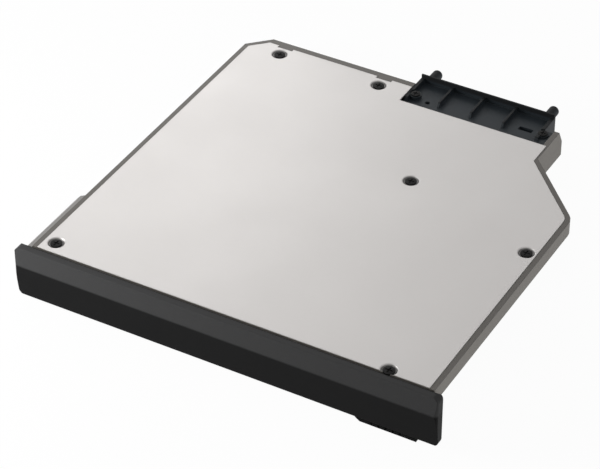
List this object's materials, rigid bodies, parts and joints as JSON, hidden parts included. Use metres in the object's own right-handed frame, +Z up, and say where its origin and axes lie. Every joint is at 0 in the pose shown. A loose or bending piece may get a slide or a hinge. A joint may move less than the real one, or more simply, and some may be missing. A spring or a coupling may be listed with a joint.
{
  "type": "solid state drive module",
  "caption": "Flat solid state drive module for a portable computer's slim drive bay, with front bezel, sprung latch, guide rail and rear docking connector.",
  "frame": {"origin": "centre of the tray's flat underside", "axes": "+X right along the bezel, +Y back to the docking connector, +Z up through the cover"},
  "size_m": [0.1348, 0.14, 0.0198],
  "materials": {
    "tray_coat": "satin",
    "cover_sheet": "satin",
    "bezel_black": "matte",
    "rail_grey": "satin",
    "connector_black": "satin",
    "receptacle_black": "satin",
    "black_steel": "satin",
    "bright_steel": "satin",
    "contact_gold": "polished",
    "board_green": "satin",
    "chip_black": "matte",
    "passive_tan": "matte",
    "film": "satin",
    "foam": "matte",
    "thermal_pad": "matte",
    "drive_shell": "satin"
  },
  "bodies": {
    "housing": {"base_tray": "tray_coat", "top_cover": "cover_sheet", "cover_screws": "black_steel", "front_bezel": "bezel_black", "bezel_screws": "black_steel", "side_guide_rail": "rail_grey", "rail_screws": "black_steel", "bay_connector": "connector_black", "bay_contacts": "contact_gold", "connector_screws": "black_steel", "latch_spring": "bright_steel", "latch_keeper": "bright_steel", "latch_screws": "black_steel", "adapter_board": "board_green", "adapter_chips": "chip_black", "board_screws": "bright_steel", "insulating_sheet": "film", "drive_receptacle": "receptacle_black", "receptacle_contacts": "contact_gold", "drive_mount_screws": "black_steel", "foam_pads": "foam", "ssd_case_base": "drive_shell", "ssd_case_lid": "drive_shell", "ssd_case_screws": "bright_steel", "ssd_board": "board_green", "ssd_plug": "receptacle_black", "ssd_plug_contacts": "contact_gold", "ssd_controller": "chip_black", "ssd_memory_chips": "chip_black", "ssd_cache_chip": "chip_black", "ssd_passives": "passive_tan", "thermal_pads": "thermal_pad"},
    "latch": {"latch_slider": "bezel_black"}
  },
  "joints": [
    {"name": "latch_slide", "type": "slide", "parent": "housing", "child": "latch", "axis": [1, 0, 0], "range_m": [0, 0.0022], "stiffness_N_per_m": 300, "springref_m": -0.002, "deforming": ["latch_spring"]}
  ]
}
